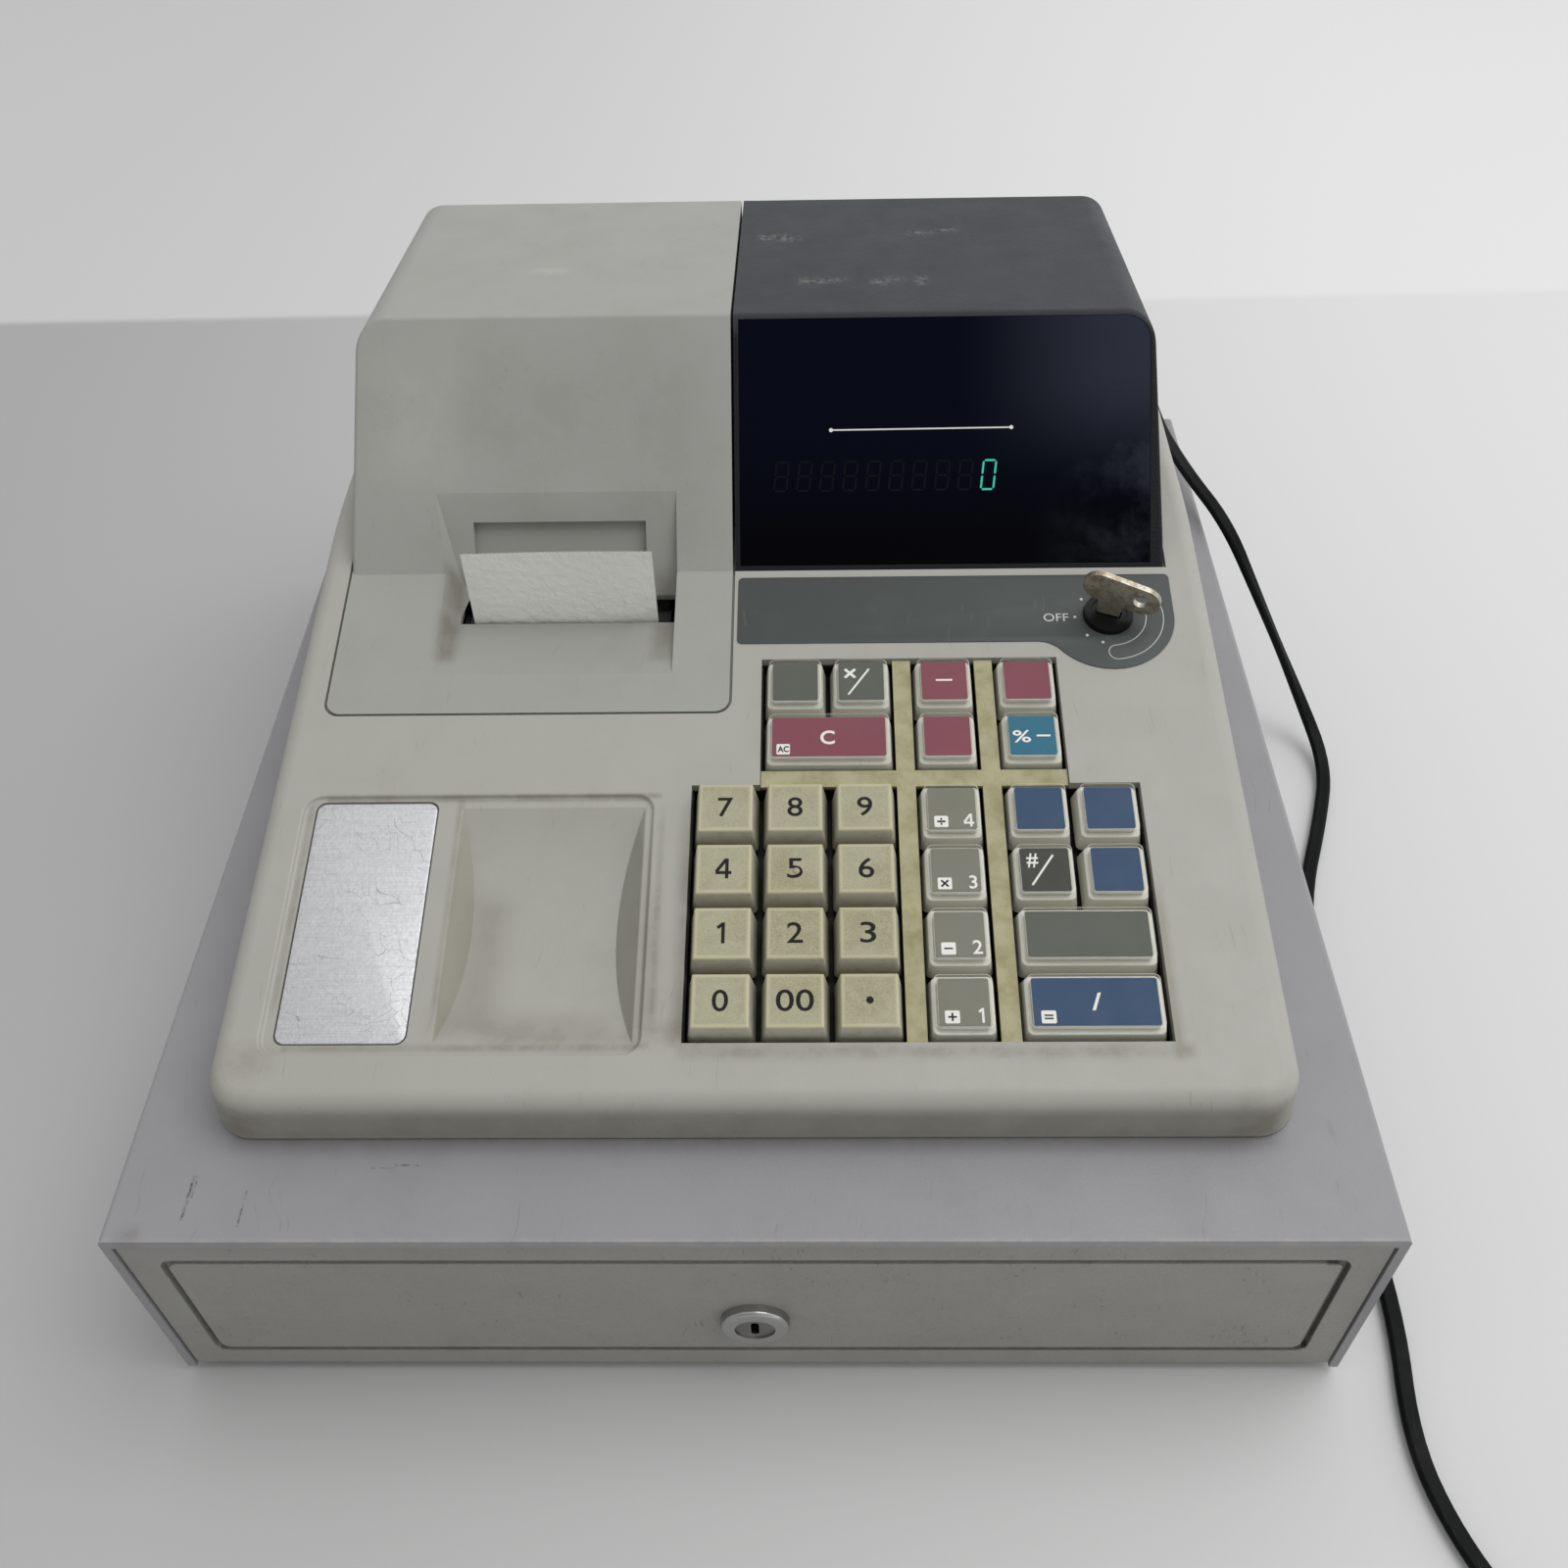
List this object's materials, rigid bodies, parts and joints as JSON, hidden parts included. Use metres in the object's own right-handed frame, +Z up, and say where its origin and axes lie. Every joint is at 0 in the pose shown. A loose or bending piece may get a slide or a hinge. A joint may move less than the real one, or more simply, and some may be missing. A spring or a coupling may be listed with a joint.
{
  "type": "cash register",
  "caption": "Counter cash register: a lockable sliding drawer cabinet below a sloped keyboard body with a receipt printer and a display hood.",
  "frame": {"origin": "under the middle of the object, on the surface that it stands on", "axes": "+X to the right as seen from the operator's side, +Y to the back, +Z up"},
  "size_m": [0.4758, 0.5808, 0.1906],
  "materials": {
    "rubber": "matt",
    "cabinet_paint": "satin, worn",
    "zinc_steel": "zinc plated",
    "tray_plastic": "matt",
    "chrome": "polished, worn",
    "case_plastic": "fine texture",
    "frame_plastic": "yellowed",
    "board": "lacquered",
    "hood_plastic": "fine texture",
    "window": "smoked, gloss",
    "tube": "clear",
    "black_plastic": "satin",
    "key_steel": "worn",
    "roller": "ground",
    "paper": "smooth paper",
    "cord": "satin",
    "cream_key": "fine texture",
    "clear_key": "gloss"
  },
  "bodies": {
    "register": {"rubber_feet": "rubber", "cabinet_shell": "cabinet_paint", "cabinet_floor": "cabinet_paint", "release_solenoid": "zinc_steel", "lower_case": "case_plastic", "upper_case": "case_plastic", "key_frame": "frame_plastic", "circuit_boards": "board", "display_cover": "hood_plastic", "display_window": "window", "display_tube": "tube", "mode_lock": "black_plastic", "printer_frame": "zinc_steel", "receipt_paper": "paper", "cord_gland": "black_plastic", "power_cord": "cord", "cord_coil": "cord", "plug": "cord"},
    "drawer": {"drawer_front": "cabinet_paint", "drawer_pan": "zinc_steel", "money_tray": "tray_plastic", "drawer_lock": "chrome"},
    "printer_lid": {"printer_cover": "case_plastic"},
    "drawer_lock_plug": {"lock_cylinder": "chrome"},
    "mode_switch": {"mode_key": "key_steel"},
    "latch": {"drawer_latch": "zinc_steel"},
    "clip_left": {"bill_clip_left": "zinc_steel"},
    "clip_middle": {"bill_clip_middle": "zinc_steel"},
    "clip_right": {"bill_clip_right": "zinc_steel"},
    "platen": {"platen_roller": "roller"},
    "roll": {"paper_roll": "paper"},
    "key_0": {"key_0": "cream_key"},
    "key_00": {"key_00": "cream_key"},
    "key_point": {"key_point": "cream_key"},
    "key_1": {"key_1": "cream_key"},
    "key_2": {"key_2": "cream_key"},
    "key_3": {"key_3": "cream_key"},
    "key_4": {"key_4": "cream_key"},
    "key_5": {"key_5": "cream_key"},
    "key_6": {"key_6": "cream_key"},
    "key_7": {"key_7": "cream_key"},
    "key_8": {"key_8": "cream_key"},
    "key_9": {"key_9": "cream_key"},
    "key_plus": {"key_plus": "clear_key"},
    "key_minus": {"key_minus": "clear_key"},
    "key_times": {"key_times": "clear_key"},
    "key_divide": {"key_divide": "clear_key"},
    "key_cash": {"key_cash": "clear_key"},
    "key_subtotal": {"key_subtotal": "clear_key"},
    "key_no_sale": {"key_no_sale": "clear_key"},
    "key_charge": {"key_charge": "clear_key"},
    "key_received": {"key_received": "clear_key"},
    "key_paid_out": {"key_paid_out": "clear_key"},
    "key_clear": {"key_clear": "clear_key"},
    "key_void": {"key_void": "clear_key"},
    "key_percent": {"key_percent": "clear_key"},
    "key_feed": {"key_feed": "clear_key"},
    "key_date": {"key_date": "clear_key"},
    "key_discount": {"key_discount": "clear_key"},
    "key_release": {"key_release": "clear_key"}
  },
  "joints": [
    {"name": "drawer_slide", "type": "slide", "parent": "register", "child": "drawer", "axis": [0, -1, 0], "range_m": [0, 0.25]},
    {"name": "printer_cover_lift", "type": "slide", "parent": "register", "child": "printer_lid", "axis": [0, 0, 1], "range_m": [0, 0.045]},
    {"name": "mode_key_turn", "type": "hinge", "parent": "register", "child": "mode_switch", "pos_m": [0.1076, 0.0022, 0.12905], "axis": [0, -0.2008, 0.9796], "range_deg": [-105, 35]},
    {"name": "drawer_lock_turn", "type": "hinge", "parent": "drawer", "child": "drawer_lock_plug", "pos_m": [0, -0.16925, 0.0338], "axis": [0, 1, 0], "range_deg": [0, 90]},
    {"name": "clip_left_lift", "type": "hinge", "parent": "drawer", "child": "clip_left", "pos_m": [-0.09847, 0.13075, 0.0542], "axis": [-1, 0, 0], "range_deg": [0, 45], "stiffness_Nm_per_rad": 0.03, "springref_deg": -22.92},
    {"name": "clip_middle_lift", "type": "hinge", "parent": "drawer", "child": "clip_middle", "pos_m": [0, 0.13075, 0.0542], "axis": [-1, 0, 0], "range_deg": [0, 45], "stiffness_Nm_per_rad": 0.03, "springref_deg": -22.92},
    {"name": "clip_right_lift", "type": "hinge", "parent": "drawer", "child": "clip_right", "pos_m": [0.09847, 0.13075, 0.0542], "axis": [-1, 0, 0], "range_deg": [0, 45], "stiffness_Nm_per_rad": 0.03, "springref_deg": -22.92},
    {"name": "latch_tilt", "type": "hinge", "parent": "register", "child": "latch", "pos_m": [0, 0.17335, 0.034], "axis": [1, 0, 0], "range_deg": [0, 18], "stiffness_Nm_per_rad": 0.03, "springref_deg": -17.19},
    {"name": "platen_turn", "type": "hinge", "parent": "register", "child": "platen", "pos_m": [-0.0605, 0.01653, 0.11], "axis": [1, 0, 0], "continuous": true},
    {"name": "roll_turn", "type": "hinge", "parent": "register", "child": "roll", "pos_m": [-0.0605, 0.12075, 0.13225], "axis": [1, 0, 0], "continuous": true},
    {"name": "key_0_press", "type": "slide", "parent": "register", "child": "key_0", "axis": [0, 0.2008, -0.9796], "range_m": [0, 0.0025], "stiffness_N_per_m": 200, "springref_m": -0.001},
    {"name": "key_00_press", "type": "slide", "parent": "register", "child": "key_00", "axis": [0, 0.2008, -0.9796], "range_m": [0, 0.0025], "stiffness_N_per_m": 200, "springref_m": -0.001},
    {"name": "key_point_press", "type": "slide", "parent": "register", "child": "key_point", "axis": [0, 0.2008, -0.9796], "range_m": [0, 0.0025], "stiffness_N_per_m": 200, "springref_m": -0.001},
    {"name": "key_1_press", "type": "slide", "parent": "register", "child": "key_1", "axis": [0, 0.2008, -0.9796], "range_m": [0, 0.0025], "stiffness_N_per_m": 200, "springref_m": -0.001},
    {"name": "key_2_press", "type": "slide", "parent": "register", "child": "key_2", "axis": [0, 0.2008, -0.9796], "range_m": [0, 0.0025], "stiffness_N_per_m": 200, "springref_m": -0.001},
    {"name": "key_3_press", "type": "slide", "parent": "register", "child": "key_3", "axis": [0, 0.2008, -0.9796], "range_m": [0, 0.0025], "stiffness_N_per_m": 200, "springref_m": -0.001},
    {"name": "key_4_press", "type": "slide", "parent": "register", "child": "key_4", "axis": [0, 0.2008, -0.9796], "range_m": [0, 0.0025], "stiffness_N_per_m": 200, "springref_m": -0.001},
    {"name": "key_5_press", "type": "slide", "parent": "register", "child": "key_5", "axis": [0, 0.2008, -0.9796], "range_m": [0, 0.0025], "stiffness_N_per_m": 200, "springref_m": -0.001},
    {"name": "key_6_press", "type": "slide", "parent": "register", "child": "key_6", "axis": [0, 0.2008, -0.9796], "range_m": [0, 0.0025], "stiffness_N_per_m": 200, "springref_m": -0.001},
    {"name": "key_7_press", "type": "slide", "parent": "register", "child": "key_7", "axis": [0, 0.2008, -0.9796], "range_m": [0, 0.0025], "stiffness_N_per_m": 200, "springref_m": -0.001},
    {"name": "key_8_press", "type": "slide", "parent": "register", "child": "key_8", "axis": [0, 0.2008, -0.9796], "range_m": [0, 0.0025], "stiffness_N_per_m": 200, "springref_m": -0.001},
    {"name": "key_9_press", "type": "slide", "parent": "register", "child": "key_9", "axis": [0, 0.2008, -0.9796], "range_m": [0, 0.0025], "stiffness_N_per_m": 200, "springref_m": -0.001},
    {"name": "key_plus_press", "type": "slide", "parent": "register", "child": "key_plus", "axis": [0, 0.2008, -0.9796], "range_m": [0, 0.0025], "stiffness_N_per_m": 200, "springref_m": -0.001},
    {"name": "key_minus_press", "type": "slide", "parent": "register", "child": "key_minus", "axis": [0, 0.2008, -0.9796], "range_m": [0, 0.0025], "stiffness_N_per_m": 200, "springref_m": -0.001},
    {"name": "key_times_press", "type": "slide", "parent": "register", "child": "key_times", "axis": [0, 0.2008, -0.9796], "range_m": [0, 0.0025], "stiffness_N_per_m": 200, "springref_m": -0.001},
    {"name": "key_divide_press", "type": "slide", "parent": "register", "child": "key_divide", "axis": [0, 0.2008, -0.9796], "range_m": [0, 0.0025], "stiffness_N_per_m": 200, "springref_m": -0.001},
    {"name": "key_cash_press", "type": "slide", "parent": "register", "child": "key_cash", "axis": [0, 0.2008, -0.9796], "range_m": [0, 0.0025], "stiffness_N_per_m": 200, "springref_m": -0.001},
    {"name": "key_subtotal_press", "type": "slide", "parent": "register", "child": "key_subtotal", "axis": [0, 0.2008, -0.9796], "range_m": [0, 0.0025], "stiffness_N_per_m": 200, "springref_m": -0.001},
    {"name": "key_no_sale_press", "type": "slide", "parent": "register", "child": "key_no_sale", "axis": [0, 0.2008, -0.9796], "range_m": [0, 0.0025], "stiffness_N_per_m": 200, "springref_m": -0.001},
    {"name": "key_charge_press", "type": "slide", "parent": "register", "child": "key_charge", "axis": [0, 0.2008, -0.9796], "range_m": [0, 0.0025], "stiffness_N_per_m": 200, "springref_m": -0.001},
    {"name": "key_received_press", "type": "slide", "parent": "register", "child": "key_received", "axis": [0, 0.2008, -0.9796], "range_m": [0, 0.0025], "stiffness_N_per_m": 200, "springref_m": -0.001},
    {"name": "key_paid_out_press", "type": "slide", "parent": "register", "child": "key_paid_out", "axis": [0, 0.2008, -0.9796], "range_m": [0, 0.0025], "stiffness_N_per_m": 200, "springref_m": -0.001},
    {"name": "key_clear_press", "type": "slide", "parent": "register", "child": "key_clear", "axis": [0, 0.2008, -0.9796], "range_m": [0, 0.0025], "stiffness_N_per_m": 200, "springref_m": -0.001},
    {"name": "key_void_press", "type": "slide", "parent": "register", "child": "key_void", "axis": [0, 0.2008, -0.9796], "range_m": [0, 0.0025], "stiffness_N_per_m": 200, "springref_m": -0.001},
    {"name": "key_percent_press", "type": "slide", "parent": "register", "child": "key_percent", "axis": [0, 0.2008, -0.9796], "range_m": [0, 0.0025], "stiffness_N_per_m": 200, "springref_m": -0.001},
    {"name": "key_feed_press", "type": "slide", "parent": "register", "child": "key_feed", "axis": [0, 0.2008, -0.9796], "range_m": [0, 0.0025], "stiffness_N_per_m": 200, "springref_m": -0.001},
    {"name": "key_date_press", "type": "slide", "parent": "register", "child": "key_date", "axis": [0, 0.2008, -0.9796], "range_m": [0, 0.0025], "stiffness_N_per_m": 200, "springref_m": -0.001},
    {"name": "key_discount_press", "type": "slide", "parent": "register", "child": "key_discount", "axis": [0, 0.2008, -0.9796], "range_m": [0, 0.0025], "stiffness_N_per_m": 200, "springref_m": -0.001},
    {"name": "key_release_press", "type": "slide", "parent": "register", "child": "key_release", "axis": [0, 0.2008, -0.9796], "range_m": [0, 0.0025], "stiffness_N_per_m": 200, "springref_m": -0.001}
  ],
  "couplings": [
    {"joint": "roll_turn", "follows": "platen_turn", "ratio": 0.2667}
  ]
}
